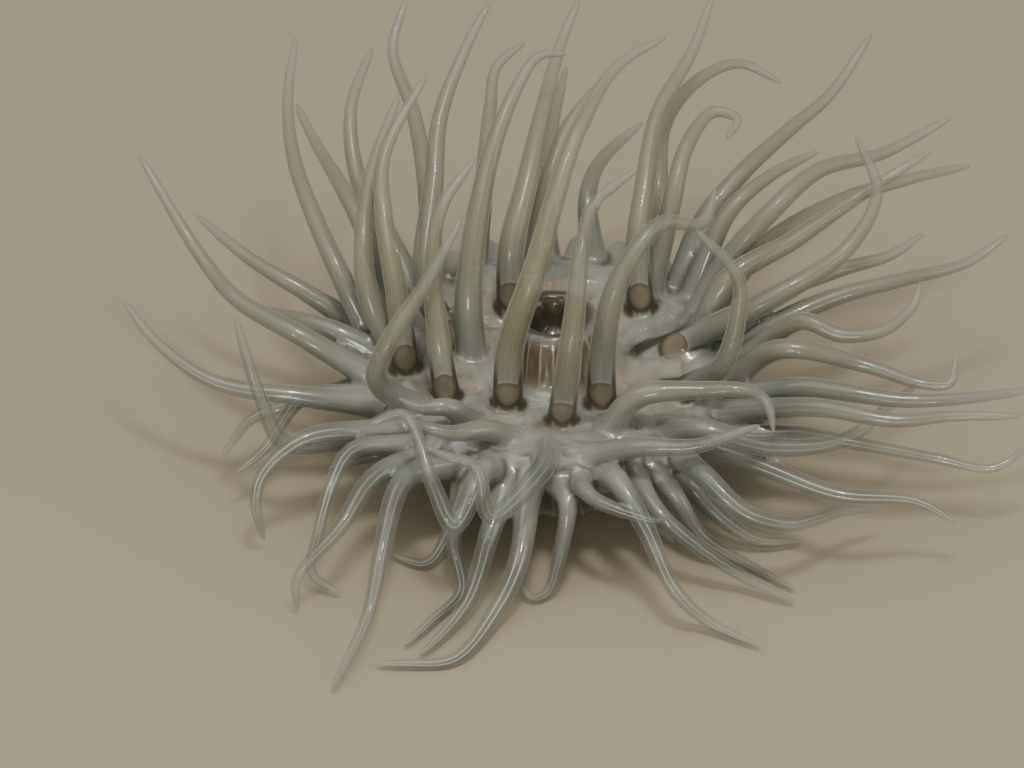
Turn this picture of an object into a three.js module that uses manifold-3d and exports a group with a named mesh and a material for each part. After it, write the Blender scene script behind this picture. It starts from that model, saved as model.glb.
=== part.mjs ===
// A life-size still model of a small sea anemone, standing on its pedal disc with its tentacles spread.
// Millimetres, +Z up. The origin is the centre of the pedal disc's underside, and -Y is the animal's front.
import * as THREE from "three";
import { mergeVertices } from "three/addons/utils/BufferGeometryUtils.js";
import Module from "manifold-3d";

// Driving dimensions
const GAP = 0.3; // between neighbouring pieces
const PEDAL_RADIUS = 8.2; // the foot that the animal stands on
const PEDAL_HEIGHT = 1.2;
const COLUMN_RADIUS = 6; // the contracted column at its waist
const CROWN_INNER = 4.6; // the tentacle-bearing margin round the mouth disc
const CROWN_OUTER = 12.8;
const CROWN_LOW = 4.9; // its underside at the inner edge
const CROWN_HIGH = 8.9; // its highest ring
const MOUTH_RADIUS = 4; // the ribbed cone round the mouth
const MOUTH_HIGH = 12.6;
const MOUTH_RIBS = 12;
const RIB_DEPTH = 0.06; // half the depth of the grooves between ribs, as a share of the radius
const CYCLE_RADIUS = [5.8, 6.8, 8.6, 10.4, 12.2, 12.4]; // distance of each cycle's roots from the axis
const ROOT_RADIUS = [1.1, 1.04, 0.96, 0.92, 0.84, 0.62]; // half-thickness of a tentacle at its root, by cycle
const ROOT_HEIGHT = [7.4, 7.4, 7.4, 7.4, 6.9, 6.7]; // where each cycle's middle lines begin, inside the margin
const TIP_RADIUS = 0.28;
const TIP_ROUNDING = 0.85; // its last ring, as a share of that
const TAPER_POWER = 1.3; // how late along its length a tentacle thins
const ROOT_FLARE = [0.1, 0.15, 0.25, 0.35, 0.45, 0.45]; // how much wider it swells at its root, by cycle
const FLARE_LENGTH = 2; // how soon that swelling fades
const BASE_LENGTH = 6; // the part of a long tentacle that stays joined to the margin
const FREE_FROM = 17.2; // a tentacle at least this long has its free length in a piece of its own
const MIDDLE_FROM = 26; // and one at least this long has it in two pieces

// Fineness
const SIDES = 6; // round a tentacle
const CORNER = 1.05; // how far its corners stand out, so that its flats lie near the true surface
const SPAN = 8; // longest facet along a straight stretch of tentacle
const BEND = 0.95; // most radians that a middle line turns from one ring of facets to the next
const FINE_STEP = 0.2; // between the places where a middle line's bend is felt
const FRAME_STEPS = 200; // places along a middle line where its crosswise directions are worked out
const ROUND = 24; // segments round the body

// The poses. Each row is a tentacle: its name, the bearing of its root round the mouth in degrees (0 is to the
// right as seen from the front, 90 the back), its cycle counted outwards, and the places that its middle line
// bends through, as [across, back, up], the last being its tip.
const POSES = [
  ["left_1", 184, 5, [-18, 0, 10.5], [-22.5, 3, 11.5], [-25, 6.5, 12.5], [-29.5, 12, 17.5]],
  ["left_2", 197, 5, [-18, -4.5, 8.5], [-24, -3.5, 9], [-28, -1, 10.5], [-30.5, 2, 12]],
  ["left_3", 163, 5, [-17.5, 5, 10.5], [-21.5, 7, 12], [-25.5, 11, 13]],
  ["left_4", 178, 4, [-16, 1.5, 10], [-21, 4.5, 9.5], [-22.5, 6, 9.5]],
  ["left_5", 207, 5, [-15, -7, 6.5], [-19, -8, 7], [-20.5, -7.5, 10], [-22.5, -5, 16]],
  ["left_6", 191, 6, [-17.5, -2.5, 7], [-20.5, -5.5, 4.5], [-22.5, -7, 3.5]],
  ["left_7", 180, 6, [-19, -1, 5], [-21.5, -2, 4.5], [-23.5, -5, 3.5]],
  ["left_8", 212, 5, [-17.5, -9.5, 8.5], [-20.5, -11, 6.5], [-21, -12, 5], [-20.5, -11.5, 1]],
  ["left_9", 220, 6, [-14, -10, 8], [-15.5, -13, 7.5], [-16.5, -15.5, 5], [-17, -16, 1.5], [-15, -17, 0.5]],
  ["left_10", 222, 6, [-12.5, -8, 6], [-16, -9, 5.5]],
  ["left_11", 228, 5, [-12.5, -12.5, 7.5], [-15, -16.5, 6], [-18, -18.5, 3], [-18, -19, 0.5]],
  ["left_12", 236, 5, [-10.5, -13, 7.5], [-12, -18, 5.5], [-13, -22, 2.5], [-15.5, -28, 0.5]],
  ["left_13", 208, 4, [-12.5, -7, 12], [-11.5, -6.5, 15], [-9, -4, 18], [-6.5, -1, 21.5]],
  ["front_1", 250, 5, [-5, -14, 9], [-7, -17.5, 7], [-8.5, -16, 9.5], [-10.5, -12, 12.5], [-13, -12.5, 12]],
  ["front_2", 268, 3, [-1, -14, 9], [-4.5, -19, 9], [-5.5, -18, 12.5], [-7.5, -17.5, 13], [-9, -17, 13.5]],
  ["front_3", 231, 3, [-7.5, -8.5, 10.5], [-9.5, -8.5, 10.5], [-11, -8, 11]],
  ["front_4", 255, 3, [-5, -10.5, 10], [-7, -11.5, 10.5], [-9, -11.5, 11], [-10, -10.5, 11]],
  ["rear_1", 210, 3, [-8, -4, 12], [-8.5, -1, 16.5], [-8, 2, 20], [-5.5, 5, 22.5]],
  ["rear_2", 180, 4, [-13, 1.5, 12.5], [-13.5, 3.5, 15.5], [-13, 8, 18.5], [-11, 14, 21.5]],
  ["rear_3", 187, 4, [-11, 0, 13.5], [-12, 4, 18], [-12, 8, 20.5], [-9, 13, 24]],
  ["rear_4", 172, 5, [-15, 4, 12.5], [-17, 8, 15], [-18.5, 13, 16.5], [-19, 18, 18], [-18.5, 23, 20]],
  ["rear_5", 150, 5, [-14, 9, 14.5], [-17, 17, 15], [-18.5, 20.5, 16]],
  ["rear_6", 148, 4, [-12, 10.5, 12], [-14, 15, 13.5], [-14.5, 19, 16.5], [-13, 24, 18.5]],
  ["rear_7", 135, 5, [-9, 12, 14.5], [-10, 18, 17], [-11.5, 23, 19], [-10.5, 26, 21.5]],
  ["rear_8", 163, 2, [-9, 3, 12.5], [-8.5, 9, 17.5], [-8, 13, 20.5], [-6, 17, 24], [-4.5, 19, 26]],
  ["rear_9", 118, 5, [-5, 14, 13], [-4.5, 20, 16], [-4, 23, 17.5], [-2, 24.5, 18.5]],
  ["rear_10", 168, 1, [-6, 2.5, 12.5], [-4.5, 9, 19.5], [-2.5, 13, 23], [-1, 14.5, 24.5], [1, 14, 25]],
  ["rear_11", 236, 1, [-3, -5, 13.5], [-1.5, -4, 18.5], [1.5, 3, 25.5], [4.5, 9, 27.5], [8, 12, 28]],
  ["rear_12", 116, 2, [-3, 7, 13], [-2, 10, 16], [-1, 14, 18.5], [0.5, 20.5, 21], [2, 24, 23]],
  ["rear_13", 92, 5, [-0.5, 15, 12], [0, 20, 14.5], [1, 25, 16]],
  ["rear_14", 98, 4, [-0.5, 12.5, 14], [1, 16, 17], [4, 20, 19]],
  ["rear_15", 274, 2, [1, -8, 13.5], [1.5, -6.5, 17.5], [2, -3.5, 21], [3, -0.5, 22.5], [6, 1, 24.5]],
  ["rear_16", 306, 1, [3.5, -5, 13], [4.5, -4, 18], [7.5, -1, 21], [10.5, 0.5, 20], [11.5, 3.5, 21]],
  ["rear_17", 340, 3, [10, -5, 10], [12, -6, 12.5], [13, -5, 16], [13, -4, 18.5], [10, -3, 22]],
  ["right_1", 295, 3, [6, -8.5, 11.5], [10, -8.5, 12], [13.5, -8.5, 12], [15, -10, 12], [15.5, -11.5, 10.5]],
  ["right_2", 279, 4, [6, -12.5, 10], [10, -13, 10.5], [14.5, -12.5, 12]],
  ["right_3", 317, 4, [10.5, -10.5, 10], [15.5, -10.5, 8.5], [20.5, -9, 8], [23.5, -6, 8.5], [26, -3.5, 9]],
  ["right_4", 24, 4, [12, 6.5, 11.5], [15.5, 8, 15.5], [19, 11, 17], [23.5, 13, 17], [28.5, 16, 18]],
  ["right_5", 16, 4, [12.5, 4, 12.5], [17, 6.5, 14], [21, 9, 15.5], [27, 12, 18]],
  ["right_6", 45, 5, [10.5, 11, 12], [13.5, 14, 14.5], [17, 18, 15.5], [20, 21, 16.5], [23, 25, 19]],
  ["right_7", 6, 5, [15.5, 1, 10.5], [20, 2.5, 12], [25, 4, 12.5], [29.5, 6, 12.5], [32.5, 8, 13.5]],
  ["right_8", 14, 5, [15.5, 4.5, 10.5], [20.5, 6.5, 11.5], [24, 7.5, 12], [26.5, 9.5, 12.5]],
  ["right_9", 12, 2, [16, 1.5, 13], [21, 4.5, 15], [23, 7, 18], [21.5, 9, 21.5]],
  ["right_10", 30, 5, [15, 8.5, 12], [20.5, 12, 13.5], [25.5, 14, 14], [30, 17, 13]],
  ["right_11", 359, 5, [17.5, -1, 12.5], [20.5, -2, 12], [23.5, -2, 12.5], [25.5, -1, 14], [26, 0.5, 15]],
  ["right_12", 354, 5, [16, -3, 11.5], [22, -3.5, 10.5], [26, -5, 10], [28, -5, 10], [28.5, -3.5, 11.5]],
  ["right_13", 346, 5, [17.5, -5.5, 10], [25, -7, 10], [30.5, -6.5, 10], [34.5, -5.5, 10]],
  ["right_14", 338, 5, [18.5, -8.5, 10.5], [24, -10, 10.5], [28, -9.5, 10.5], [33, -9.5, 10.5]],
  ["right_15", 328, 6, [17.5, -7, 7], [20.5, -6.5, 6], [27, -8.5, 6], [31, -9, 5.5], [33.5, -8, 6.5]],
  ["right_16", 320, 5, [14, -10.2, 6.9], [20, -14, 7], [25.5, -13.5, 6], [28.5, -13.5, 4]],
  ["right_17", 314, 5, [10.5, -13, 8], [13.5, -15.5, 6.5], [16.5, -15.5, 5.5], [20.5, -12, 4], [23, -10.5, 3]],
  ["front_5", 287, 5, [4.5, -14.5, 8.5], [6.5, -17.5, 6.5], [8.5, -20.5, 3.5], [11, -21, 1], [14.5, -23, 0.5]],
  ["front_6", 297, 6, [7.5, -15, 6], [10.5, -16, 3.5], [13.5, -16.5, 1.5], [17, -18, 0.5]],
  ["front_7", 303, 6, [8.5, -12, 5.5], [10.5, -13, 2.5], [13.5, -13.5, 0.5], [17, -16.5, 0.5]],
  ["front_8", 308, 5, [9.5, -9.5, 4.5], [12, -11, 2.5], [14.5, -11.5, 1], [17.5, -11, 0.5]],
  ["front_9", 291, 6, [6, -12.5, 5], [8.5, -14.5, 3]],
  ["front_10", 280, 6, [2, -14.5, 8], [3, -16, 8], [7, -19, 8.5], [7.5, -19.5, 9]],
  ["front_11", 272, 6, [1, -14.5, 6.5], [0.5, -16, 3.5], [-0.5, -17, 0.5], [-1.5, -17.5, 0.5], [-2.5, -16.5, 1.5]],
  ["front_12", 262, 5, [-2.5, -18, 4], [-4, -20, 1.5], [-7, -24.5, 0.5], [-10.5, -25, 0.5], [-12.5, -25, 0.5]],
  ["front_13", 255, 5, [-4.5, -16, 5], [-6, -19, 1.5], [-9, -23.5, 0.5], [-9.5, -24, 0.5]],
  ["front_14", 244, 6, [-7, -14.5, 3.5], [-6.5, -16.5, 0.5], [-8.5, -20, 0.5], [-10.5, -23, 0.5]],
  ["front_15", 240, 6, [-7.5, -11.5, 1.5], [-9, -13.5, 0.5], [-11.5, -12.5, 0.5]],
  ["back_1", 42, 3, [6, 7, 13], [6.5, 10, 16], [7.5, 15, 19], [10, 20, 21], [11.5, 24, 23]],
  ["back_2", 55, 5, [7.5, 13, 13.5], [8, 18, 16], [10.5, 22, 17], [13.5, 24, 17], [16.5, 23, 16]],
  ["back_3", 50, 4, [8.5, 10, 15], [9.5, 13, 17.5], [11.5, 16, 18.5], [13.2, 15.3, 18.4], [12.4, 13.4, 18]],
  ["back_4", 75, 5, [2.5, 15, 11.5], [3.5, 19, 12], [6.5, 23, 12.5]],
  ["back_5", 38, 5, [12.5, 10.5, 13.5], [15.5, 13, 15], [19, 16, 15]],
];

// The outermost tentacles at the back droop to the floor: their bearings, and the reach and height of each bend.
const DROOP_BEARINGS = [62, 72, 83, 97, 107, 118, 129];
const DROOP_BENDS = [[15.5, 7], [18.5, 3.2], [21.5, 0.5]];
const DROOP_CYCLE = 5;

const wasm = await Module();
wasm.setup();

// A material of soft wet flesh.
function flesh(color, roughness) {
  return new THREE.MeshStandardMaterial({ color, roughness, metalness: 0 });
}
const TENTACLE_FLESH = flesh("#b5aa9d", 0.35);
const MARGIN_FLESH = flesh("#a69c93", 0.35);
const DISC_FLESH = flesh("#a59a9b", 0.35);
const MOUTH_FLESH = flesh("#8f7460", 0.4);
const COLUMN_FLESH = flesh("#9a8b7b", 0.5);

// A closed geometry as a solid that can be joined and cut.
function toSolid(geometry) {
  const bare = geometry.clone();
  bare.deleteAttribute("normal");
  bare.deleteAttribute("uv");
  const merged = mergeVertices(bare, 1e-4);
  const vertProperties = Float32Array.from(merged.attributes.position.array);
  const triVerts = Uint32Array.from(merged.index.array);
  return new wasm.Manifold(new wasm.Mesh({ numProp: 3, vertProperties, triVerts }));
}

// A solid as a geometry that can be drawn.
function toGeometry(solid) {
  const mesh = solid.getMesh();
  const geometry = new THREE.BufferGeometry();
  geometry.setAttribute("position", new THREE.BufferAttribute(mesh.vertProperties, mesh.numProp));
  geometry.setIndex(new THREE.BufferAttribute(mesh.triVerts, 1));
  geometry.computeVertexNormals();
  return geometry;
}

// A turned body from its half outline: [radius, height] pairs that run from axis to axis or close on themselves.
function turned(outline, segments = ROUND) {
  const points = outline.map(([radius, height]) => new THREE.Vector2(radius, height));
  return new THREE.LatheGeometry(points, segments).rotateX(Math.PI / 2);
}

// The half-thickness of a tentacle at a distance from its root.
function thickness(cycle, length, along) {
  const taper = 1 - (along / length) ** TAPER_POWER;
  const swelling = ROOT_FLARE[cycle - 1] * Math.exp(-along / FLARE_LENGTH);
  return TIP_RADIUS + (ROOT_RADIUS[cycle - 1] - TIP_RADIUS) * taper + swelling;
}

// The point on the margin where a tentacle's middle line begins.
function rootOf(bearing, cycle) {
  const angle = THREE.MathUtils.degToRad(bearing);
  const radius = CYCLE_RADIUS[cycle - 1];
  return new THREE.Vector3(radius * Math.cos(angle), radius * Math.sin(angle), ROOT_HEIGHT[cycle - 1]);
}

// A tentacle's middle line, with its name, cycle and length.
function tentacle(name, bearing, cycle, bends) {
  const places = bends.map((place) => new THREE.Vector3(...place));
  const line = new THREE.CatmullRomCurve3([rootOf(bearing, cycle), ...places]);
  return { name: "tentacle_" + name, cycle, line, length: line.getLength() };
}

// Where the rings of facets go between two distances from a root: closer together where the middle line bends.
function ringPlaces({ line, length }, from, to) {
  const samples = [from];
  const spans = [0];
  let before = line.getTangentAt(from / length);
  for (let along = from + FINE_STEP; along < to; along += FINE_STEP) {
    const here = line.getTangentAt(along / length);
    samples.push(along);
    spans.push(spans.at(-1) + FINE_STEP / SPAN + before.angleTo(here) / BEND);
    before = here;
  }
  const count = Math.max(2, Math.round(spans.at(-1)));
  const rings = [from];
  for (let ring = 1; ring < count; ring++) {
    const reached = spans.findIndex((span) => span >= (spans.at(-1) * ring) / count);
    rings.push(samples[reached]);
  }
  return [...rings, to];
}

// A tentacle between two distances from its root: a tapered turned body, bent along the middle line.
function stretch({ cycle, line, length }, from, to) {
  const rings = ringPlaces({ line, length }, from, to);
  const outline = rings.map((along) => [thickness(cycle, length, along) * CORNER, along]);
  if (to === length) outline[rings.length - 1] = [TIP_RADIUS * TIP_ROUNDING, length - TIP_RADIUS / 2];
  outline.unshift([0, from]);
  outline.push([0, to]);
  const body = new THREE.LatheGeometry(outline.map(([r, s]) => new THREE.Vector2(r, s)), SIDES);
  const frames = line.computeFrenetFrames(FRAME_STEPS);
  const place = body.attributes.position;
  for (let i = 0; i < place.count; i++) {
    const share = THREE.MathUtils.clamp(place.getY(i) / length, 0, 1);
    const step = Math.round(share * FRAME_STEPS);
    const at = line.getPointAt(share);
    at.addScaledVector(frames.normals[step], place.getX(i));
    at.addScaledVector(frames.binormals[step], -place.getZ(i));
    place.setXYZ(i, at.x, at.y, at.z);
  }
  return toSolid(body);
}

// What lies below the floor, to be cut away so that whatever rests there has a small flat.
const underFloor = toSolid(new THREE.BoxGeometry(200, 200, 20).translate(0, 0, -10));

const model = new THREE.Group();
function add(name, solid, material) {
  const mesh = new THREE.Mesh(toGeometry(solid), material);
  mesh.name = name;
  model.add(mesh);
}

// The pedal disc, a low round foot.
function pedalDisc() {
  const outline = [
    [0, 0],
    [PEDAL_RADIUS - 0.3, 0],
    [PEDAL_RADIUS, 0.4],
    [PEDAL_RADIUS - 0.5, 0.9],
    [PEDAL_RADIUS - 1.4, PEDAL_HEIGHT],
    [0, PEDAL_HEIGHT],
  ];
  return toSolid(turned(outline));
}

// The column, contracted, flaring to carry the margin. Its top follows the margin's underside.
function column() {
  const rim = CROWN_LOW + 0.9;
  const outline = [
    [0, PEDAL_HEIGHT + GAP],
    [COLUMN_RADIUS + 0.6, PEDAL_HEIGHT + GAP],
    [COLUMN_RADIUS, PEDAL_HEIGHT + 1.4],
    [COLUMN_RADIUS + 0.4, CROWN_LOW - 1.4],
    [COLUMN_RADIUS + 2, CROWN_LOW - 0.4],
    [COLUMN_RADIUS + 4.6, rim - GAP - 0.2],
    [COLUMN_RADIUS + 4.3, rim - GAP],
    [CROWN_INNER, CROWN_LOW - GAP],
    [0, CROWN_LOW - GAP],
  ];
  return toSolid(turned(outline));
}

// The mouth disc, slightly dished.
function oralDisc() {
  const edge = CROWN_INNER - GAP;
  const outline = [
    [0, CROWN_LOW],
    [edge, CROWN_LOW],
    [edge, CROWN_HIGH - 0.7],
    [edge - 0.8, CROWN_HIGH - 0.5],
    [MOUTH_RADIUS, CROWN_HIGH - 0.7],
    [0, CROWN_HIGH - 0.7],
  ];
  return toSolid(turned(outline));
}

// The raised, ribbed mouth with its open throat.
function mouth() {
  const foot = CROWN_HIGH - 0.7 + GAP;
  const outline = [
    [0, foot],
    [MOUTH_RADIUS, foot],
    [MOUTH_RADIUS, foot + 0.9],
    [MOUTH_RADIUS - 0.5, MOUTH_HIGH - 0.9],
    [MOUTH_RADIUS - 0.9, MOUTH_HIGH - 0.2],
    [MOUTH_RADIUS - 1.6, MOUTH_HIGH],
    [MOUTH_RADIUS - 2.3, MOUTH_HIGH - 0.5],
    [MOUTH_RADIUS - 2.9, MOUTH_HIGH - 2.6],
    [0, MOUTH_HIGH - 2.8],
  ];
  const cone = turned(outline, MOUTH_RIBS * 2);
  const place = cone.attributes.position;
  for (let i = 0; i < place.count; i++) {
    const turn = Math.atan2(place.getY(i), place.getX(i));
    const swell = 1 - RIB_DEPTH * (1 - Math.cos(MOUTH_RIBS * turn));
    place.setXY(i, place.getX(i) * swell, place.getY(i) * swell);
  }
  return toSolid(cone);
}

// The margin: a low ring that rises from the mouth disc and rolls over at its edge.
function margin() {
  const outline = [
    [CROWN_INNER, CROWN_LOW],
    [CROWN_OUTER - 1.8, CROWN_LOW + 1],
    [CROWN_OUTER - 0.3, CROWN_LOW + 1.9],
    [CROWN_OUTER, CROWN_LOW + 2.6],
    [CROWN_OUTER - 0.9, CROWN_HIGH - 0.4],
    [CROWN_OUTER - 3.6, CROWN_HIGH],
    [CROWN_INNER, CROWN_HIGH - 0.7],
    [CROWN_INNER, CROWN_LOW],
  ];
  return toSolid(turned(outline));
}

const drooping = DROOP_BEARINGS.map((bearing, i) => {
  const angle = THREE.MathUtils.degToRad(bearing);
  const bends = DROOP_BENDS.map(([reach, up]) => [reach * Math.cos(angle), reach * Math.sin(angle), up]);
  return tentacle("droop_" + (i + 1), bearing, DROOP_CYCLE, bends);
});
const posed = POSES.map(([name, bearing, cycle, ...bends]) => tentacle(name, bearing, cycle, bends));
const tentacles = [...posed, ...drooping];

// The margin takes the base of each long tentacle and the whole of each short one.
let crown = margin();
const free = [];
for (const each of tentacles) {
  if (each.length < FREE_FROM) {
    crown = crown.add(stretch(each, 0, each.length));
    continue;
  }
  crown = crown.add(stretch(each, 0, BASE_LENGTH));
  const start = BASE_LENGTH + GAP;
  if (each.length < MIDDLE_FROM) {
    free.push([each.name, stretch(each, start, each.length)]);
    continue;
  }
  const half = (start + each.length) / 2;
  free.push([each.name + "_middle", stretch(each, start, half)]);
  free.push([each.name + "_end", stretch(each, half + GAP, each.length)]);
}

add("pedal_disc", pedalDisc(), COLUMN_FLESH);
add("column", column(), COLUMN_FLESH);
add("oral_disc", oralDisc(), DISC_FLESH);
add("mouth", mouth(), MOUTH_FLESH);
add("crown", crown.subtract(underFloor), MARGIN_FLESH);
for (const [name, solid] of free) add(name, solid.subtract(underFloor), TENTACLE_FLESH);

export default model;
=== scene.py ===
import math

import bpy
import numpy as np
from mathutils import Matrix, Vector, kdtree, noise


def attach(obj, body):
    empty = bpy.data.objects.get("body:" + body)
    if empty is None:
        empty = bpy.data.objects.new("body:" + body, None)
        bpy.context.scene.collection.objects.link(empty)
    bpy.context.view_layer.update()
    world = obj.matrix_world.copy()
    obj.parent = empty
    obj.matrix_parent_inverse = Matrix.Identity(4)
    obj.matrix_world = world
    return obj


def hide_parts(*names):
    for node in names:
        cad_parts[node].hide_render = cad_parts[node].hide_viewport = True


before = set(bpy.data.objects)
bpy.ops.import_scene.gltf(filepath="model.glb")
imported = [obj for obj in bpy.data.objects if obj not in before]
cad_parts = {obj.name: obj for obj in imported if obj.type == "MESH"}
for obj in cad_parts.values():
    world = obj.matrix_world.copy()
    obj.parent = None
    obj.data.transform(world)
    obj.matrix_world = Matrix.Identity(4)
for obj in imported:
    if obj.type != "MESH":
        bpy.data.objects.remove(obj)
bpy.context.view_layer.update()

MM = 0.001


# The camera looks down on the animal's front from 37 degrees. It stands well back with a long lens, so that
# the tentacles keep their true proportions, and the mouth sits a little right of the frame's middle.
VIEW_RISE = math.radians(37)
VIEW_DISTANCE = 1.0
PIXELS_PER_MM = 14
FOOT_PIXEL = (553, 453)  # where the centre of the foot falls in the frame
FRAME = (1024, 768)
SENSOR = 36
CLIP_START = 0.01

aim_across = (FRAME[0] / 2 - FOOT_PIXEL[0]) / PIXELS_PER_MM
aim_up = (FOOT_PIXEL[1] - FRAME[1] / 2) / PIXELS_PER_MM
aim = Vector((aim_across, aim_up * math.sin(VIEW_RISE), aim_up * math.cos(VIEW_RISE))) * MM
bpy.ops.object.camera_add(
    location=aim + Vector((0, -math.cos(VIEW_RISE), math.sin(VIEW_RISE))) * VIEW_DISTANCE,
    rotation=(math.pi / 2 - VIEW_RISE, 0, 0),
)
camera = bpy.context.object
camera.data.sensor_width = SENSOR
camera.data.lens = SENSOR * PIXELS_PER_MM / MM * VIEW_DISTANCE / FRAME[0]
camera.data.clip_start = CLIP_START
bpy.context.scene.camera = camera


# The studio is a plain sand-pale floor under one broad soft lamp, with a weaker one from the right. Two small
# bright lamps, one high and one low in front, put the wet glints on the flesh.
LAMP_TARGET = Vector((0, 0, 0.008))
FLOOR_SIZE = 3
FLOOR_COLOUR = (0.31, 0.265, 0.19, 1)
AIR_COLOUR = (1.0, 0.98, 0.92, 1)
AIR_STRENGTH = 0.44


def lamp(name, place, size, power, colour):
    bpy.ops.object.light_add(type="AREA", location=place)
    light = bpy.context.object
    light.name = name
    light.rotation_euler = (LAMP_TARGET - Vector(place)).to_track_quat("-Z", "Y").to_euler()
    light.data.size = size
    light.data.energy = power
    light.data.color = colour


lamp("lamp_overhead", (-0.1, -0.1, 0.42), 0.45, 1.15, (1.0, 0.97, 0.91))
lamp("lamp_right", (0.42, -0.2, 0.22), 0.25, 0.5, (1.0, 0.98, 0.95))
lamp("lamp_glint_high", (0.03, -0.14, 0.44), 0.06, 1.0, (1.0, 0.98, 0.92))
lamp("lamp_glint_low", (-0.05, -0.42, 0.1), 0.09, 0.4, (1.0, 0.98, 0.92))

bpy.ops.mesh.primitive_plane_add(size=FLOOR_SIZE)
floor = bpy.context.object
floor.name = "floor"
floor_finish = bpy.data.materials.new("floor_finish")
floor_finish.use_nodes = True
floor_paint = floor_finish.node_tree.nodes["Principled BSDF"]
floor_paint.inputs["Base Color"].default_value = FLOOR_COLOUR
floor_paint.inputs["Roughness"].default_value = 0.95
floor_paint.inputs["Specular IOR Level"].default_value = 0.2
floor.data.materials.append(floor_finish)

air = bpy.data.worlds.new("studio_air")
bpy.context.scene.world = air
air.use_nodes = True
air.node_tree.nodes["Background"].inputs["Color"].default_value = AIR_COLOUR
air.node_tree.nodes["Background"].inputs["Strength"].default_value = AIR_STRENGTH


# The body: a foot, a short contracted column, the margin that carries the tentacles, the dished mouth disc and
# the ribbed mouth cone with its open throat. It is soft wet flesh in one piece, drawn as one turned form.
OUTLINE = (
    (8.1, 0.35), (7.9, 0.7), (7.2, 1.1), (6.5, 1.6), (6.0, 2.4), (6.0, 3.2), (6.5, 3.9), (7.9, 4.5),
    (9.6, 5.1), (11.2, 5.8), (12.3, 6.6), (12.75, 7.4), (12.5, 8.1), (11.8, 8.5), (10.6, 8.75), (9.2, 8.8),
    (7.6, 8.6), (6.2, 8.3), (5.1, 8.15), (4.3, 8.3), (3.95, 8.8), (3.85, 9.6), (3.7, 10.6), (3.55, 11.5),
    (3.3, 12.1), (2.9, 12.45), (2.4, 12.4), (2.0, 12.0), (1.7, 11.2), (1.4, 10.4), (0.9, 9.9), (0.4, 9.8),
)  # radius and height in millimetres, from the foot's edge up, over the margin and down into the throat
FLOOR_RADIUS = 7.7
RING_POINTS = 192
MOUTH_RIBS = 24

bpy.ops.object.select_all(action="DESELECT")
bpy.ops.mesh.primitive_circle_add(vertices=RING_POINTS, radius=FLOOR_RADIUS * MM, fill_type="NGON")
skin = bpy.context.object
skin.name = "skin"
bpy.ops.object.mode_set(mode="EDIT")
radius, height = FLOOR_RADIUS, 0.0
for ring_radius, ring_height in OUTLINE:
    rise = (0, 0, (ring_height - height) * MM)
    bpy.ops.mesh.extrude_region_move(TRANSFORM_OT_translate={"value": rise})
    scale = ring_radius / radius
    bpy.ops.transform.resize(value=(scale, scale, 1), center_override=(0, 0, 0))
    radius, height = ring_radius, ring_height
bpy.ops.mesh.select_all(action="SELECT")
bpy.ops.mesh.normals_make_consistent(inside=False)
bpy.ops.object.mode_set(mode="OBJECT")


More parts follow.
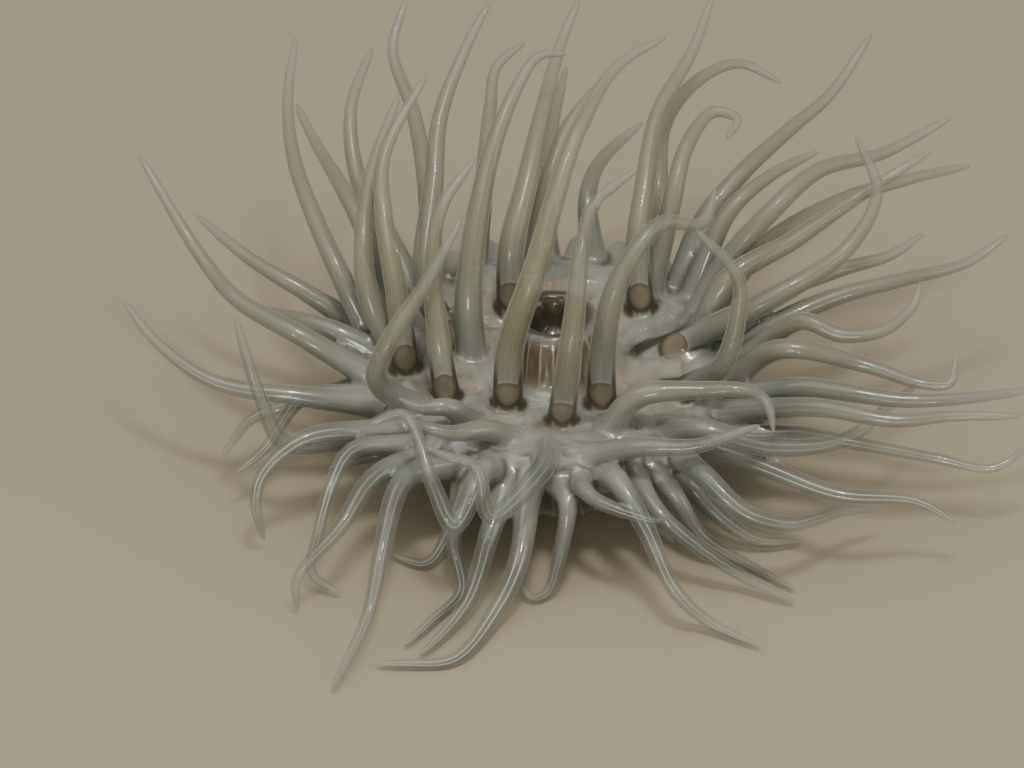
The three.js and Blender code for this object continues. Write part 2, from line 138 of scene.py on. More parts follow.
# The tentacles are hollow tapered fingers of the same flesh, each rising from the margin and bending its own
# way. A row of the poses gives a name, the bearing of the root in degrees, its cycle counted outwards, and the
# places in millimetres (across, back, up) that the middle line bends through, the last being the tip.
CYCLE_RADIUS = (5.8, 6.8, 8.6, 10.4, 12.2, 12.4)
ROOT_RADIUS = (1.1, 1.04, 0.96, 0.92, 0.84, 0.62)
ROOT_HEIGHT = (7.4, 7.4, 7.4, 7.4, 6.9, 6.7)
TIP_RADIUS = 0.28
TAPER_POWER = 1.3
TIP_LENGTH = 2.5
TIP_END = 0.5  # the share of the thickness that is lost over the tip's length
ROOT_FLARE = (0.1, 0.15, 0.25, 0.35, 0.45, 0.45)
FLARE_LENGTH = 2
POSES = (
    ("left_1", 184, 5, (-18, 0, 10.5), (-22.5, 3, 11.5), (-25, 6.5, 12.5), (-29.5, 12, 17.5)),
    ("left_2", 197, 5, (-18, -4.5, 8.5), (-24, -3.5, 9), (-28, -1, 10.5), (-30.5, 2, 12)),
    ("left_3", 163, 5, (-17.5, 5, 10.5), (-21.5, 7, 12), (-25.5, 11, 13)),
    ("left_4", 178, 4, (-16, 1.5, 10), (-21, 4.5, 9.5), (-22.5, 6, 9.5)),
    ("left_5", 207, 5, (-15, -7, 6.5), (-19, -8, 7), (-20.5, -7.5, 10), (-22.5, -5, 16)),
    ("left_6", 191, 6, (-17.5, -2.5, 7), (-20.5, -5.5, 4.5), (-22.5, -7, 3.5)),
    ("left_7", 180, 6, (-19, -1, 5), (-21.5, -2, 4.5), (-23.5, -5, 3.5)),
    ("left_8", 212, 5, (-17.5, -9.5, 8.5), (-20.5, -11, 6.5), (-21, -12, 5), (-20.5, -11.5, 1)),
    ("left_9", 220, 6, (-14, -10, 8), (-15.5, -13, 7.5), (-16.5, -15.5, 5), (-17, -16, 1.5), (-15, -17, 0.5)),
    ("left_10", 222, 6, (-12.5, -8, 6), (-16, -9, 5.5)),
    ("left_11", 228, 5, (-12.5, -12.5, 7.5), (-15, -16.5, 6), (-18, -18.5, 3), (-18, -19, 0.5)),
    ("left_12", 236, 5, (-10.5, -13, 7.5), (-12, -18, 5.5), (-13, -22, 2.5), (-15.5, -28, 0.5)),
    ("left_13", 208, 4, (-12.5, -7, 12), (-11.5, -6.5, 15), (-9, -4, 18), (-6.5, -1, 21.5)),
    ("front_1", 250, 5, (-5, -14, 9), (-7, -17.5, 7), (-8.5, -16, 9.5), (-10.5, -12, 12.5), (-13, -12.5, 12)),
    ("front_2", 268, 3, (-1, -14, 9), (-4.5, -19, 9), (-5.5, -18, 12.5), (-7.5, -17.5, 13), (-9, -17, 13.5)),
    ("front_3", 231, 3, (-7.5, -8.5, 10.5), (-9.5, -8.5, 10.5), (-11, -8, 11)),
    ("front_4", 255, 3, (-5, -10.5, 10), (-7, -11.5, 10.5), (-9, -11.5, 11), (-10, -10.5, 11)),
    ("rear_1", 210, 3, (-8, -4, 12), (-8.5, -1, 16.5), (-8, 2, 20), (-5.5, 5, 22.5)),
    ("rear_2", 180, 4, (-13, 1.5, 12.5), (-13.5, 3.5, 15.5), (-13, 8, 18.5), (-11, 14, 21.5)),
    ("rear_3", 187, 4, (-11, 0, 13.5), (-12, 4, 18), (-12, 8, 20.5), (-9, 13, 24)),
    ("rear_4", 172, 5, (-15, 4, 12.5), (-17, 8, 15), (-18.5, 13, 16.5), (-19, 18, 18), (-18.5, 23, 20)),
    ("rear_5", 150, 5, (-14, 9, 14.5), (-17, 17, 15), (-18.5, 20.5, 16)),
    ("rear_6", 148, 4, (-12, 10.5, 12), (-14, 15, 13.5), (-14.5, 19, 16.5), (-13, 24, 18.5)),
    ("rear_7", 135, 5, (-9, 12, 14.5), (-10, 18, 17), (-11.5, 23, 19), (-10.5, 26, 21.5)),
    ("rear_8", 163, 2, (-9, 3, 12.5), (-8.5, 9, 17.5), (-8, 13, 20.5), (-6, 17, 24), (-4.5, 19, 26)),
    ("rear_9", 118, 5, (-5, 14, 13), (-4.5, 20, 16), (-4, 23, 17.5), (-2, 24.5, 18.5)),
    ("rear_10", 168, 1, (-6, 2.5, 12.5), (-4.5, 9, 19.5), (-2.5, 13, 23), (-1, 14.5, 24.5), (1, 14, 25)),
    ("rear_11", 236, 1, (-3, -5, 13.5), (-1.5, -4, 18.5), (1.5, 3, 25.5), (4.5, 9, 27.5), (8, 12, 28)),
    ("rear_12", 116, 2, (-3, 7, 13), (-2, 10, 16), (-1, 14, 18.5), (0.5, 20.5, 21), (2, 24, 23)),
    ("rear_13", 92, 5, (-0.5, 15, 12), (0, 20, 14.5), (1, 25, 16)),
    ("rear_14", 98, 4, (-0.5, 12.5, 14), (1, 16, 17), (4, 20, 19)),
    ("rear_15", 274, 2, (1, -8, 13.5), (1.5, -6.5, 17.5), (2, -3.5, 21), (3, -0.5, 22.5), (6, 1, 24.5)),
    ("rear_16", 306, 1, (3.5, -5, 13), (4.5, -4, 18), (7.5, -1, 21), (10.5, 0.5, 20), (11.5, 3.5, 21)),
    ("rear_17", 340, 3, (10, -5, 10), (12, -6, 12.5), (13, -5, 16), (13, -4, 18.5), (10, -3, 22)),
    ("right_1", 295, 3, (6, -8.5, 11.5), (10, -8.5, 12), (13.5, -8.5, 12), (15, -10, 12), (15.5, -11.5, 10.5)),
    ("right_2", 279, 4, (6, -12.5, 10), (10, -13, 10.5), (14.5, -12.5, 12)),
    ("right_3", 317, 4, (10.5, -10.5, 10), (15.5, -10.5, 8.5), (20.5, -9, 8), (23.5, -6, 8.5), (26, -3.5, 9)),
    ("right_4", 24, 4, (12, 6.5, 11.5), (15.5, 8, 15.5), (19, 11, 17), (23.5, 13, 17), (28.5, 16, 18)),
    ("right_5", 16, 4, (12.5, 4, 12.5), (17, 6.5, 14), (21, 9, 15.5), (27, 12, 18)),
    ("right_6", 45, 5, (10.5, 11, 12), (13.5, 14, 14.5), (17, 18, 15.5), (20, 21, 16.5), (23, 25, 19)),
    ("right_7", 6, 5, (15.5, 1, 10.5), (20, 2.5, 12), (25, 4, 12.5), (29.5, 6, 12.5), (32.5, 8, 13.5)),
    ("right_8", 14, 5, (15.5, 4.5, 10.5), (20.5, 6.5, 11.5), (24, 7.5, 12), (26.5, 9.5, 12.5)),
    ("right_9", 12, 2, (16, 1.5, 13), (21, 4.5, 15), (23, 7, 18), (21.5, 9, 21.5)),
    ("right_10", 30, 5, (15, 8.5, 12), (20.5, 12, 13.5), (25.5, 14, 14), (30, 17, 13)),
    ("right_11", 359, 5, (17.5, -1, 12.5), (20.5, -2, 12), (23.5, -2, 12.5), (25.5, -1, 14), (26, 0.5, 15)),
    ("right_12", 354, 5, (16, -3, 11.5), (22, -3.5, 10.5), (26, -5, 10), (28, -5, 10), (28.5, -3.5, 11.5)),
    ("right_13", 346, 5, (17.5, -5.5, 10), (25, -7, 10), (30.5, -6.5, 10), (34.5, -5.5, 10)),
    ("right_14", 338, 5, (18.5, -8.5, 10.5), (24, -10, 10.5), (28, -9.5, 10.5), (33, -9.5, 10.5)),
    ("right_15", 328, 6, (17.5, -7, 7), (20.5, -6.5, 6), (27, -8.5, 6), (31, -9, 5.5), (33.5, -8, 6.5)),
    ("right_16", 320, 5, (14, -10.2, 6.9), (20, -14, 7), (25.5, -13.5, 6), (28.5, -13.5, 4)),
    ("right_17", 314, 5, (10.5, -13, 8), (13.5, -15.5, 6.5),
     (16.5, -15.5, 5.5), (20.5, -12, 4), (23, -10.5, 3)),
    ("front_5", 287, 5, (4.5, -14.5, 8.5), (6.5, -17.5, 6.5),
     (8.5, -20.5, 3.5), (11, -21, 1), (14.5, -23, 0.5)),
    ("front_6", 297, 6, (7.5, -15, 6), (10.5, -16, 3.5), (13.5, -16.5, 1.5), (17, -18, 0.5)),
    ("front_7", 303, 6, (8.5, -12, 5.5), (10.5, -13, 2.5), (13.5, -13.5, 0.5), (17, -16.5, 0.5)),
    ("front_8", 308, 5, (9.5, -9.5, 4.5), (12, -11, 2.5), (14.5, -11.5, 1), (17.5, -11, 0.5)),
    ("front_9", 291, 6, (6, -12.5, 5), (8.5, -14.5, 3)),
    ("front_10", 280, 6, (2, -14.5, 8), (3, -16, 8), (7, -19, 8.5), (7.5, -19.5, 9)),
    ("front_11", 272, 6, (1, -14.5, 6.5), (0.5, -16, 3.5),
     (-0.5, -17, 0.5), (-1.5, -17.5, 0.5), (-2.5, -16.5, 1.5)),
    ("front_12", 262, 5, (-2.5, -18, 4), (-4, -20, 1.5),
     (-7, -24.5, 0.5), (-10.5, -25, 0.5), (-12.5, -25, 0.5)),
    ("front_13", 255, 5, (-4.5, -16, 5), (-6, -19, 1.5), (-9, -23.5, 0.5), (-9.5, -24, 0.5)),
    ("front_14", 244, 6, (-7, -14.5, 3.5), (-6.5, -16.5, 0.5), (-8.5, -20, 0.5), (-10.5, -23, 0.5)),
    ("front_15", 240, 6, (-7.5, -11.5, 1.5), (-9, -13.5, 0.5), (-11.5, -12.5, 0.5)),
    ("back_1", 42, 3, (6, 7, 13), (6.5, 10, 16), (7.5, 15, 19), (10, 20, 21), (11.5, 24, 23)),
    ("back_2", 55, 5, (7.5, 13, 13.5), (8, 18, 16), (10.5, 22, 17), (13.5, 24, 17), (16.5, 23, 16)),
    ("back_3", 50, 4, (8.5, 10, 15), (9.5, 13, 17.5), (11.5, 16, 18.5), (13.2, 15.3, 18.4), (12.4, 13.4, 18)),
    ("back_4", 75, 5, (2.5, 15, 11.5), (3.5, 19, 12), (6.5, 23, 12.5)),
    ("back_5", 38, 5, (12.5, 10.5, 13.5), (15.5, 13, 15), (19, 16, 15)),
)
DROOP_BEARINGS = (62, 72, 83, 97, 107, 118, 129)
DROOP_BENDS = ((15.5, 7), (18.5, 3.2), (21.5, 0.5))
DROOP_CYCLE = 5
SPOT_HEIGHT = {
    "rear_1": 2.45, "rear_3": 2.45, "rear_8": 2.45, "rear_11": 2.5, "rear_12": 2.6, "rear_15": 3.0,
    "rear_16": 2.5, "rear_17": 2.45, "back_1": 2.6, "right_9": 2.7,
}  # how far along each spotted tentacle the middle of its spot is
STEP = 0.2
CURVE_STEPS = 60
FACING = np.array((0, -0.8, 0.6))  # the front of a tentacle, from which its two sides are told
SIDE_MEMORY = 0.3  # how far the sides hold their turn from one step to the next
TUBE_CORNERS = 4
SHADE_SEED = 7


def middle_line(places):
    """Points every STEP mm along a centripetal Catmull-Rom curve through the places, and their distances."""
    knots = [2 * places[0] - places[1], *places, 2 * places[-1] - places[-2]]
    found = []
    for before, start, end, after in zip(knots, knots[1:], knots[2:], knots[3:]):
        t1 = math.sqrt(np.linalg.norm(start - before))
        t2 = t1 + math.sqrt(np.linalg.norm(end - start))
        t3 = t2 + math.sqrt(np.linalg.norm(after - end))
        t = np.linspace(t1, t2, CURVE_STEPS, endpoint=False)[:, None]
        a1 = ((t1 - t) * before + t * start) / t1
        a2 = ((t2 - t) * start + (t - t1) * end) / (t2 - t1)
        a3 = ((t3 - t) * end + (t - t2) * after) / (t3 - t2)
        b1 = ((t2 - t) * a1 + t * a2) / t2
        b2 = ((t3 - t) * a2 + (t - t1) * a3) / (t3 - t1)
        found.append(((t2 - t) * b1 + (t - t1) * b2) / (t2 - t1))
    found = np.vstack([*found, places[-1]])
    along = np.r_[0, np.cumsum(np.linalg.norm(np.diff(found, axis=0), axis=1))]
    even = np.linspace(0, along[-1], round(along[-1] / STEP) + 1)
    return np.column_stack([np.interp(even, along, column) for column in found.T]), even


def root_of(bearing, cycle):
    angle = math.radians(bearing)
    out = CYCLE_RADIUS[cycle - 1]
    return np.array((out * math.cos(angle), out * math.sin(angle), ROOT_HEIGHT[cycle - 1]))


def thickness(cycle, length, along):
    taper = 1 - (along / length) ** TAPER_POWER
    swelling = ROOT_FLARE[cycle - 1] * np.exp(-along / FLARE_LENGTH)
    rounding = 1 - TIP_END * np.clip((along - length + TIP_LENGTH) / TIP_LENGTH, 0, 1) ** 2
    return (TIP_RADIUS + (ROOT_RADIUS[cycle - 1] - TIP_RADIUS) * taper + swelling) * rounding


drooping = []
for order, bearing in enumerate(DROOP_BEARINGS, 1):
    across, back = math.cos(math.radians(bearing)), math.sin(math.radians(bearing))
    bends = [(reach * across, reach * back, up) for reach, up in DROOP_BENDS]
    drooping.append((f"droop_{order}", bearing, DROOP_CYCLE, *bends))

# One row for each step along each middle line: the place, the way ahead, the way to its side, and the values
# there (along, radius, length, cycle, shade, which tentacle, and how far along its spot is).
line_place, line_ahead, line_side, line_values = [], [], [], []
tubes = bpy.data.curves.new("tentacle_tubes", "CURVE")
tubes.dimensions = "3D"
tubes.bevel_depth = MM
tubes.bevel_resolution = TUBE_CORNERS
tubes.use_fill_caps = True
chance = np.random.default_rng(SHADE_SEED)
for tube, (name, bearing, cycle, *bends) in enumerate([*POSES, *drooping]):
    places, along = middle_line([root_of(bearing, cycle), *map(np.array, bends)])
    length = along[-1]
    radii = thickness(cycle, length, along)
    spline = tubes.splines.new("POLY")
    spline.points.add(len(places) - 1)
    spline.points.foreach_set("co", np.column_stack([places * MM, np.ones(len(places))]).ravel())
    spline.points.foreach_set("radius", radii)
    ahead = np.gradient(places, axis=0)
    ahead /= np.linalg.norm(ahead, axis=1)[:, None]
    side = np.array((1.0, 0, 0))
    sides = []
    for direction in ahead:
        level = np.cross(direction, FACING)
        level *= 1 if level.dot(side) > 0 else -1
        side = level + SIDE_MEMORY * side
        side = side - direction * side.dot(direction)
        side = side / np.linalg.norm(side)
        sides.append(side)
    shade = chance.uniform(-1, 1)
    line_place.append(places)
    line_ahead.append(ahead)
    line_side.append(np.array(sides))
    steady = np.tile((length, cycle, shade, tube, SPOT_HEIGHT.get(name, 0)), (len(along), 1))
    line_values.append(np.column_stack([along, radii, steady]))
line_place, line_ahead = np.vstack(line_place), np.vstack(line_ahead)
line_side, line_values = np.vstack(line_side), np.vstack(line_values)
tube_object = bpy.data.objects.new("tentacle_tubes", tubes)
bpy.context.collection.objects.link(tube_object)
bpy.ops.object.select_all(action="DESELECT")
tube_object.select_set(True)
bpy.context.view_layer.objects.active = tube_object
bpy.ops.object.convert(target="MESH")

# Joining all of it into one skin: a remesh melts the tubes into the body, and smoothing rounds the webs
# between their roots. Past the roots every point goes back to its tube's true thickness.
VOXEL = 0.21
SOFTENING = 7
MOST_TRIANGLES = 190000
NEIGHBOURS = 24  # steps of the middle lines that are looked at round each point of the skin
NONE_NEAR = 9.0  # the gap to a second tentacle where there is none
TRUE_FROM, TRUE_OVER = 3, 2  # where the true thickness sets in along a tentacle, and over what length
TRUE_WITHIN = 0.4
TIP_FADE = 0.5
CREASE_WIDTH = 0.3
ROOT_LENGTH = 3
OUTER_CYCLE = 5
MOAT_DEPTH = 0.25
MOAT_WIDTH = 0.25
RIB_DEPTH = 0.05
FOLDS = 13
FOLD_DEPTH = 0.7
COLUMN_FOLDS = 24
COLUMN_FOLD_DEPTH = 0.04
WRINKLE_GAP = 0.85
WRINKLE_DEPTH = 0.012
BLOTCH_SIZE = 3.5
WANDER_SIZE = 3
WANDER_SHIFT = Vector((9, 0, 0))


def smooth_step(low, high, value):
    share = np.clip((value - low) / (high - low), 0, 1)
    return share * share * (3 - 2 * share)


bpy.ops.object.select_all(action="DESELECT")
tube_object.select_set(True)
skin.select_set(True)
bpy.context.view_layer.objects.active = skin
bpy.ops.object.join()
skin.data.remesh_voxel_size = VOXEL * MM
bpy.ops.object.voxel_remesh()
soften = skin.modifiers.new("soften", "SMOOTH")
soften.factor = 0.5
soften.iterations = SOFTENING
bpy.ops.object.modifier_apply(modifier="soften")
triangles = 2 * len(skin.data.polygons)
if triangles > MOST_TRIANGLES:
    thin = skin.modifiers.new("thin", "DECIMATE")
    thin.ratio = MOST_TRIANGLES / triangles
    bpy.ops.object.modifier_apply(modifier="thin")

tree = kdtree.KDTree(len(line_place))
for index, place in enumerate(line_place):
    tree.insert(place, index)
tree.balance()
points = np.empty(len(skin.data.vertices) * 3)
skin.data.vertices.foreach_get("co", points)
points = points.reshape(-1, 3) / MM
nearest = np.empty(len(points), int)
next_gap = np.full(len(points), NONE_NEAR)
line_radius, line_tube = line_values[:, 1].tolist(), line_values[:, 5].tolist()
for index, point in enumerate(points):
    hits = sorted((hit[2] - line_radius[hit[1]], hit[1]) for hit in tree.find_n(point, NEIGHBOURS))
    nearest[index] = hits[0][1]
    own = line_tube[hits[0][1]]
    next_gap[index] = next((gap for gap, row in hits if line_tube[row] != own), NONE_NEAR)
offset = points - line_place[nearest]
ahead = line_ahead[nearest]
past = np.sum(offset * ahead, axis=1)
values = line_values[nearest]
along = values[:, 0] + past
length, cycle, shade = values[:, 2], values[:, 3], values[:, 4]
centre = line_place[nearest] + ahead * past[:, None]
outward = points - centre
reach = np.linalg.norm(outward, axis=1)
outward /= np.maximum(reach, 1e-6)[:, None]
true_radius = values[:, 1]
gap = np.maximum(reach, -along) - true_radius
free = np.clip((along - TRUE_FROM) / TRUE_OVER, 0, 1) * (gap < TRUE_WITHIN)
free = free * np.clip((length - along) / TIP_FADE, 0, 1)
free *= np.clip((next_gap - gap) / CREASE_WIDTH, 0, 1)
points += outward * (true_radius - reach)[:, None] * free[:, None]
moat = MOAT_DEPTH * np.exp(-(((gap - MOAT_WIDTH) / MOAT_WIDTH) ** 2))
points[:, 2] -= moat * (along < ROOT_LENGTH) * (cycle < OUTER_CYCLE)

# The mouth cone is drawn in between its ribs, the contracted column is fluted and wrinkled, and the disc has
# low folds that run out between the roots.
out = np.hypot(points[:, 0], points[:, 1])
bearing = np.arctan2(points[:, 1], points[:, 0])
on_cone = smooth_step(8.4, 9.4, points[:, 2]) * smooth_step(4.6, 4.2, out)
points[:, :2] *= 1 - RIB_DEPTH * (on_cone * (0.5 - 0.5 * np.cos(MOUTH_RIBS * bearing)))[:, None]
on_column = smooth_step(5.0, 3.8, points[:, 2]) * smooth_step(8.6, 8.3, out) * (gap > 0.8)
upright = 0.5 - 0.5 * np.cos(COLUMN_FOLDS * bearing + 0.8 * np.sin(5 * bearing))
level = 2 * np.pi * points[:, 2] / WRINKLE_GAP + 1.2 * np.sin(4 * bearing) + 0.5 * np.sin(11 * bearing)
level = 0.5 - 0.5 * np.cos(level)
drawn_in = COLUMN_FOLD_DEPTH * upright + WRINKLE_DEPTH * level * smooth_step(0.8, 1.6, points[:, 2])
points[:, :2] *= 1 - (on_column * drawn_in)[:, None]
on_disc = smooth_step(4.6, 5.6, out) * smooth_step(12.4, 10.5, out)
on_disc = on_disc * smooth_step(0.2, 0.7, gap) * (points[:, 2] > 7)
wave = FOLDS * bearing + 0.9 * np.sin(0.9 * out + 3 * bearing) + 0.7 * np.sin(1.7 * out - 5 * bearing)
fold = on_disc * (1 - np.abs(np.sin(wave))) ** 2
points[:, 2] -= FOLD_DEPTH * fold
points[:, 2] = np.maximum(points[:, 2], 0)
skin.data.vertices.foreach_set("co", (points * MM).ravel())
skin.data.update()


def store(name, values):
    attribute = skin.data.attributes.new(name, "FLOAT", "POINT")
    attribute.data.foreach_set("value", np.ascontiguousarray(values, dtype=np.float32))


store("finger", 1 - smooth_step(0.25, 0.8, gap))
store("share_along", np.clip(along / length, 0, 1))
store("from_root", along)
store("lateral", np.sum(outward * line_side[nearest], axis=1))
store("gap", gap)
store("shade", shade)
store("inner", values[:, 6] > 0)
store("from_spot", along - values[:, 6])
store("fold", fold)
store("blotch", [0.5 + 0.5 * noise.noise(Vector(point) / BLOTCH_SIZE) for point in points])
store("wander", [noise.noise(Vector(point) / WANDER_SIZE + WANDER_SHIFT) for point in points])
# the crease mask carries the painted shade between crowded roots
crease_shade = np.exp(-(((next_gap - gap) / CREASE_WIDTH) ** 2)) * smooth_step(0.9, 0.5, next_gap)
store("crease_shade", crease_shade * smooth_step(5, 3, along))

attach(skin, "root")
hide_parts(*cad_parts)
bpy.ops.object.shade_smooth()

flesh = bpy.data.materials.new("flesh")
flesh.use_nodes = True
skin.data.materials.clear()
skin.data.materials.append(flesh)
nodes = flesh.node_tree.nodes
paint = nodes["Principled BSDF"]


def link(source, target):
    flesh.node_tree.links.new(source, target)


def reading(name):
    node = nodes.new("ShaderNodeAttribute")
    node.attribute_name = name
    return node.outputs["Fac"]


def number(operation, first, second=None):
    node = nodes.new("ShaderNodeMath")
    node.operation = operation
    for socket, value in zip(node.inputs, (first, second)):
        if isinstance(value, bpy.types.NodeSocket):
            link(value, socket)
        elif value is not None:
            socket.default_value = value
    return node.outputs[0]


def ramp(value, low, high, start=0.0, end=1.0):
    node = nodes.new("ShaderNodeMapRange")
    node.interpolation_type = "SMOOTHSTEP"
    link(value, node.inputs["Value"])
    for name, given in zip(("From Min", "From Max", "To Min", "To Max"), (low, high, start, end)):
        node.inputs[name].default_value = given
    return node.outputs["Result"]


def over(under, mask, colour):
    node = nodes.new("ShaderNodeMix")
    node.data_type = "RGBA"
    sockets = (node.inputs["Factor"], node.inputs[6], node.inputs[7])
    for socket, value in zip(sockets, (mask, under, colour)):
        if isinstance(value, bpy.types.NodeSocket):
            link(value, socket)
        else:
            socket.default_value = (*value, 1) if isinstance(value, tuple) else value
    return node.outputs[2]


place = nodes.new("ShaderNodeTexCoord")
parts = nodes.new("ShaderNodeSeparateXYZ")
link(place.outputs["Object"], parts.inputs[0])
across, back, up = parts.outputs
radial = number("ADD", number("MULTIPLY", across, across), number("MULTIPLY", back, back))
radial = number("DIVIDE", number("SQRT", radial), MM)
height = number("DIVIDE", up, MM)
turn = number("ARCTAN2", back, across)

is_finger = reading("finger")
share = reading("share_along")
from_root = reading("from_root")
lateral = number("ABSOLUTE", reading("lateral"))
around_gap = reading("gap")
inner = reading("inner")
own_shade = reading("shade")

# Disc and margin: lilac grey with bluish patches, bluer on the margin, with painted shade in the valleys of
# the folds and thin pairs of peach lines that wander out from the mouth.
DISC_LILAC, DISC_BLUISH = (0.285, 0.245, 0.185), (0.265, 0.262, 0.222)
MARGIN_GREY = (0.248, 0.248, 0.218)
VALLEY_SHADE = (0.1, 0.082, 0.055)
LINE_PEACH = (0.42, 0.25, 0.16)
LINE_SPREAD = 1.1

blotch = reading("blotch")
wander = reading("wander")
colour = over(DISC_LILAC, ramp(blotch, 0.42, 0.65), DISC_BLUISH)
colour = over(colour, ramp(radial, 8.5, 11.5), MARGIN_GREY)
# painted shade: the valleys of the disc's folds are darkened
colour = over(colour, ramp(reading("fold"), 0.1, 0.8, 0.0, 0.5), VALLEY_SHADE)
line_turn = number("ADD", number("MULTIPLY", turn, MOUTH_RIBS / 4), number("MULTIPLY", wander, 0.6))
line_offset = number("MULTIPLY", number("ABSOLUTE", number("SINE", line_turn)), radial)
line_offset = number("ABSOLUTE", number("SUBTRACT", line_offset, LINE_SPREAD))
peach = number("MULTIPLY", ramp(line_offset, 0.55, 0.15, 0.0, 0.85), ramp(radial, 10.5, 8.5))
peach = number("MULTIPLY", peach, ramp(blotch, 0.7, 0.55))
colour = over(colour, peach, LINE_PEACH)

# Column and foot: brown-grey and denser, with the pale upright lines where the inner walls are joined on.
COLUMN_BROWN, COLUMN_PATCH = (0.13, 0.115, 0.08), (0.19, 0.165, 0.115)
JOINT_PALE = (0.27, 0.25, 0.19)

joints = ramp(number("COSINE", number("MULTIPLY", turn, 2 * MOUTH_RIBS)), 0.55, 0.95, 0.0, 0.45)
column_colour = over(COLUMN_BROWN, joints, JOINT_PALE)
column_colour = over(column_colour, ramp(blotch, 0.45, 0.7, 0.0, 0.5), COLUMN_PATCH)
colour = over(colour, ramp(height, 6.0, 4.6), column_colour)

# Mouth: mauve-brown with thin cream lines up its ribs, a pale rim and painted shade down the throat.
MOUTH_BROWN, MOUTH_PATCH = (0.125, 0.102, 0.065), (0.16, 0.125, 0.065)
MOUTH_BASE = (0.2, 0.17, 0.13)
RIB_CREAM = (0.4, 0.29, 0.2)
RIM_PALE = (0.19, 0.175, 0.155)
THROAT_SHADE = (0.045, 0.038, 0.02)

in_mouth = number("MULTIPLY", ramp(radial, 4.4, 4.0), ramp(height, 8.3, 8.9))
ribs = ramp(number("COSINE", number("MULTIPLY", turn, MOUTH_RIBS)), 0.8, 0.97)
ribs = number("MULTIPLY", ribs, ramp(height, 8.6, 10.5, 0.25, 0.75))
mouth_colour = over(MOUTH_BROWN, ramp(blotch, 0.45, 0.65), MOUTH_PATCH)
mouth_colour = over(mouth_colour, ramp(height, 9.6, 8.6, 0.0, 0.6), MOUTH_BASE)
mouth_colour = over(mouth_colour, ribs, RIB_CREAM)
mouth_colour = over(mouth_colour, ramp(height, 11.7, 12.1, 0.0, 0.8), RIM_PALE)
# painted shade: the throat darkens towards the middle
mouth_colour = over(mouth_colour, ramp(radial, 3.2, 2.5), THROAT_SHADE)
colour = over(colour, in_mouth, mouth_colour)

# Tentacles: greenish grey low down, warmer where they rise, fading to bluish white at the tips. Pale rims are
# painted down both sides as a painted sheen where the wall turns away, and on the low glassy ones two white
# lines mark the canal inside.
WALL_LOW, WALL_HIGH = (0.175, 0.184, 0.155), (0.258, 0.23, 0.147)
WALL_TIP = (0.33, 0.345, 0.31)
WALL_ROOT = (0.242, 0.242, 0.212)
WALL_GLASSY = (0.165, 0.178, 0.158)
STREAK_DARK = (0.12, 0.115, 0.08)
CANAL_AND_RIM_PALE = (0.44, 0.47, 0.43)
CANAL_SIDE = 0.3  # how far out each of the canal's lines lies, as a share of the radius

tone = number("ADD", ramp(height, 8.0, 17.0, 0.0, 0.75), number("MULTIPLY", own_shade, 0.25))
tentacle_colour = over(WALL_LOW, number("MAXIMUM", tone, 0.0), WALL_HIGH)
tentacle_colour = over(tentacle_colour, ramp(share, 0.65, 1.0, 0.0, 0.6), WALL_TIP)
tentacle_colour = over(tentacle_colour, ramp(from_root, 6.0, 1.5, 0.0, 0.7), WALL_ROOT)
glassy = number("MULTIPLY", ramp(height, 12.0, 7.5), ramp(share, 0.1, 0.36))
tentacle_colour = over(tentacle_colour, number("MULTIPLY", glassy, 0.5), WALL_GLASSY)
streak = number("ADD", number("MULTIPLY", lateral, 19.0), number("MULTIPLY", own_shade, 9.0))
streak = ramp(number("SINE", streak), -1.0, 1.0, 0.0, 0.16)
tentacle_colour = over(tentacle_colour, streak, STREAK_DARK)
canal = ramp(number("ABSOLUTE", number("SUBTRACT", lateral, CANAL_SIDE)), 0.11, 0.03)
canal = number("MULTIPLY", number("MULTIPLY", canal, glassy), ramp(own_shade, -0.8, 0.9, 0.35, 1.0))
# painted sheen: pale rims down both sides of each tentacle
painted_rim_sheen = ramp(lateral, 0.84, 0.97, 0.0, 0.62)
rim_sheen_and_canal = number("MULTIPLY", number("MAXIMUM", painted_rim_sheen, canal), ramp(from_root, 4.0, 7.0))
tentacle_colour = over(tentacle_colour, number("MULTIPLY", rim_sheen_and_canal, 0.8), CANAL_AND_RIM_PALE)
colour = over(colour, is_finger, tentacle_colour)

# Each inner root: a rounded tan spot low on its front and back, a thin pale band over it, and dark bars that
# climb both sides from a line of painted shade under it, where it sinks into the disc. Painted shade also
# darkens the creases between the crowded roots and the disc round the sides of each root.
SPOT_HALF_HEIGHT = 0.98
SPOT_HALF_WIDTH = 0.84  # as a share of the tentacle's radius
SPOT_EDGE, SPOT_TAN = (0.12, 0.095, 0.062), (0.175, 0.145, 0.1)
BAND_PALE = (0.27, 0.25, 0.25)
CREASE_SHADE = (0.05, 0.043, 0.03)
FOOT_SHADE = (0.07, 0.055, 0.036)
BAR_AND_JOINT_SHADE = (0.045, 0.034, 0.02)

root_mask = number("MULTIPLY", is_finger, inner)
spot_up = number("DIVIDE", reading("from_spot"), SPOT_HALF_HEIGHT)
spot_across = number("DIVIDE", lateral, SPOT_HALF_WIDTH)
spot_reach = number("ADD", number("MULTIPLY", spot_up, spot_up), number("MULTIPLY", spot_across, spot_across))
spot_reach = number("SQRT", spot_reach)
spot = number("MULTIPLY", ramp(spot_reach, 1.04, 0.96), root_mask)
band = number("MULTIPLY", ramp(spot_reach, 1.35, 1.0), ramp(spot_up, 0.0, 0.4))
band = number("MULTIPLY", band, root_mask)
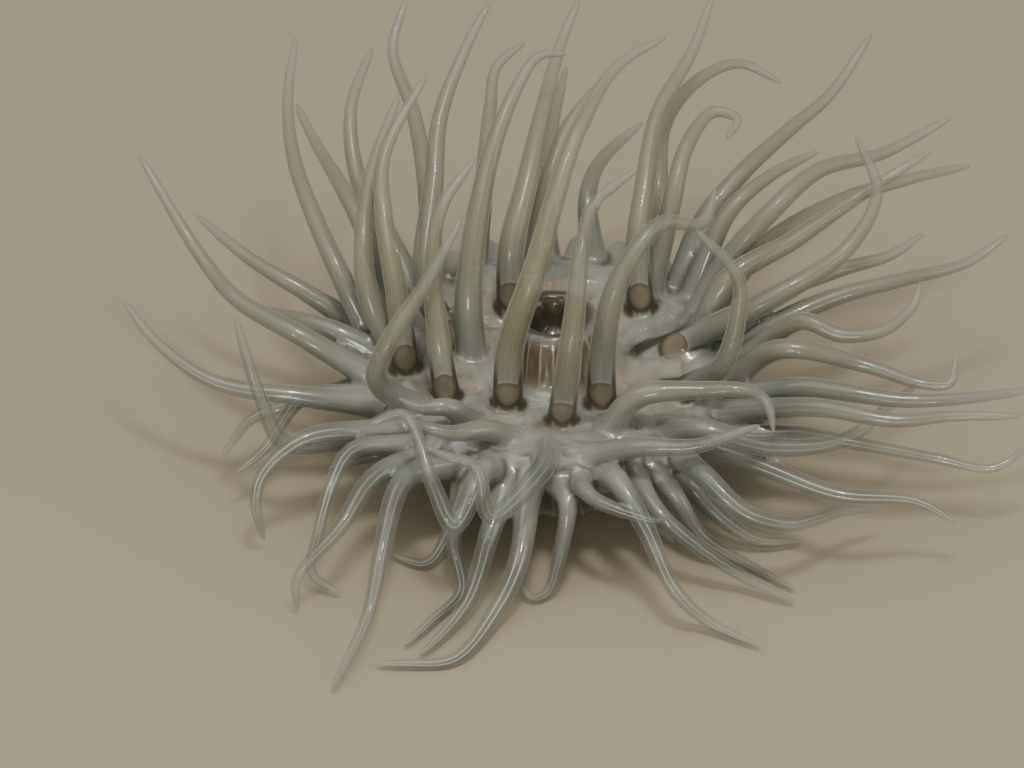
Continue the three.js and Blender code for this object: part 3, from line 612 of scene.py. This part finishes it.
# painted shade: a dark line under each spot where the root meets the disc
joint_shade_line = number("MULTIPLY", ramp(spot_reach, 1.5, 1.2), ramp(spot_up, 0.1, -0.3))
bar_edge = number("ADD", lateral, number("MULTIPLY", from_root, -0.06))
bars_and_joint_shade = number("MULTIPLY", ramp(bar_edge, 0.42, 0.58), ramp(from_root, 5.6, 3.0))
bars_and_joint_shade = number("MULTIPLY", number("MAXIMUM", bars_and_joint_shade, joint_shade_line), ramp(around_gap, 0.28, 0.08))
bars_and_joint_shade = number("MULTIPLY", bars_and_joint_shade, root_mask)
crease_shade = number("MULTIPLY", reading("crease_shade"), ramp(height, 5.0, 6.5))
# painted shade on the disc round the sides of each inner root
root_foot_shade = number("MULTIPLY", ramp(around_gap, 0.5, 0.15, 0.0, 0.7), ramp(from_root, 3.0, 1.8))
root_foot_shade = number("MULTIPLY", number("MULTIPLY", root_foot_shade, inner), ramp(lateral, 0.1, 0.8, 0.35, 1.0))
colour = over(colour, number("MULTIPLY", band, 0.7), BAND_PALE)
# painted shade in the creases between crowded roots
colour = over(colour, number("MULTIPLY", crease_shade, 0.8), CREASE_SHADE)
colour = over(colour, number("MULTIPLY", root_foot_shade, 0.75), FOOT_SHADE)
# dark bars, together with the painted shade of the line under each spot
colour = over(colour, number("MULTIPLY", bars_and_joint_shade, 0.9), BAR_AND_JOINT_SHADE)
spot_colour = over(SPOT_EDGE, ramp(spot_reach, 1.0, 0.6), SPOT_TAN)
colour = over(colour, spot, spot_colour)
link(colour, paint.inputs["Base Color"])

# The thin walls let more and more show through towards the tips, and least where the root is dense. Scattered
# light meets them as if they were solid. The flesh is wet low down and drier where it rises, with a faint
# sheen.
clear = number("ADD", ramp(from_root, 3.5, 8.0, 0.0, 0.42), ramp(share, 0.4, 1.0, 0.0, 0.15))
clear = number("ADD", clear, number("MULTIPLY", glassy, 0.22))
clear = number("MULTIPLY", clear, number("SUBTRACT", 1.0, number("MULTIPLY", rim_sheen_and_canal, 0.7)))
clear = number("MULTIPLY", clear, is_finger)
rays = nodes.new("ShaderNodeLightPath")
clear = number("MULTIPLY", clear, number("SUBTRACT", 1.0, rays.outputs["Is Diffuse Ray"]))
link(number("SUBTRACT", 1.0, clear), paint.inputs["Alpha"])
paint.inputs["Sheen Weight"].default_value = 0.2
paint.inputs["Sheen Roughness"].default_value = 0.3
paint.inputs["Sheen Tint"].default_value = (0.95, 0.98, 0.95, 1)
dull = number("MAXIMUM", number("MAXIMUM", root_foot_shade, crease_shade), number("MAXIMUM", bars_and_joint_shade, ramp(height, 4.0, 1.5)))
wet = number("MULTIPLY", number("SUBTRACT", 1.0, dull), ramp(height, 9.5, 15.0, 1.0, 0.3))
link(wet, paint.inputs["Coat Weight"])
link(ramp(dull, 0.0, 1.0, 0.34, 0.65), paint.inputs["Roughness"])
paint.inputs["IOR"].default_value = 1.38
paint.inputs["Coat Roughness"].default_value = 0.07
